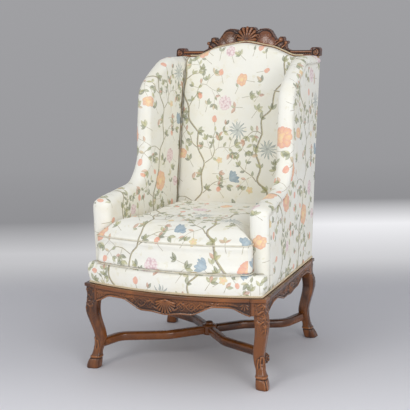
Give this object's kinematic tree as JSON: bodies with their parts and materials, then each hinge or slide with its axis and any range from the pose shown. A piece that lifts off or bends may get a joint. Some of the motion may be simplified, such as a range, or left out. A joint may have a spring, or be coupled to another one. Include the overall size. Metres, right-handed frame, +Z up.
{
  "type": "wingback armchair",
  "caption": "High-backed upholstered wing armchair with rolled arms, loose box cushion, carved crest rail, cabriole legs with hoof feet and an X-shaped stretcher.",
  "frame": {"origin": "centre of the overall box in plan, on the floor", "axes": "+Z up, +X to the viewer's right, and the chair faces -Y"},
  "size_m": [0.6824, 0.8408, 1.192],
  "materials": {
    "walnut": "carved walnut, waxed",
    "beech": "plain beech, unfinished",
    "steel": "plain steel screws",
    "webbing": "jute webbing",
    "hessian": "hessian",
    "gimp": "woven gimp braid",
    "printed_fabric": "ivory cotton sateen printed with branches, leaves and flowers"
  },
  "bodies": {
    "chair": {"arm_pad_left": "printed_fabric", "arm_pad_right": "printed_fabric", "arm_rail_left": "beech", "arm_rail_right": "beech", "arm_stump_left": "beech", "arm_stump_right": "beech", "back_bottom_rail": "beech", "back_leg_left": "walnut", "back_leg_right": "walnut", "back_pad": "printed_fabric", "back_post_left": "beech", "back_post_right": "beech", "back_rail": "beech", "back_top_rail": "beech", "back_webbing": "webbing", "corner_block_back_left": "beech", "corner_block_back_right": "beech", "corner_block_front_left": "beech", "corner_block_front_right": "beech", "corner_screws": "steel", "crest_gimp": "gimp", "crest_rail": "walnut", "edge_gimp": "gimp", "front_border": "printed_fabric", "front_leg_left": "walnut", "front_leg_right": "walnut", "front_rail": "walnut", "outer_back_cover": "printed_fabric", "outer_side_cover_left": "printed_fabric", "outer_side_cover_right": "printed_fabric", "rail_pegs": "beech", "seat_hessian": "hessian", "seat_stuffing": "printed_fabric", "seat_webbing": "webbing", "side_rail_left": "walnut", "side_rail_right": "walnut", "stretcher_back_left": "walnut", "stretcher_back_right": "walnut", "stretcher_boss": "walnut", "stretcher_front_left": "walnut", "stretcher_front_right": "walnut", "wing_pad_left": "printed_fabric", "wing_pad_right": "printed_fabric", "wing_top_rail_left": "beech", "wing_top_rail_right": "beech", "wing_upright_left": "beech", "wing_upright_right": "beech"},
    "cushion": {"seat_cushion": "printed_fabric", "cushion_piping": "printed_fabric"}
  },
  "joints": [
    {"name": "cushion_lift", "type": "slide", "parent": "chair", "child": "cushion", "axis": [0, 0, 1], "range_m": [0, 0.4]}
  ]
}
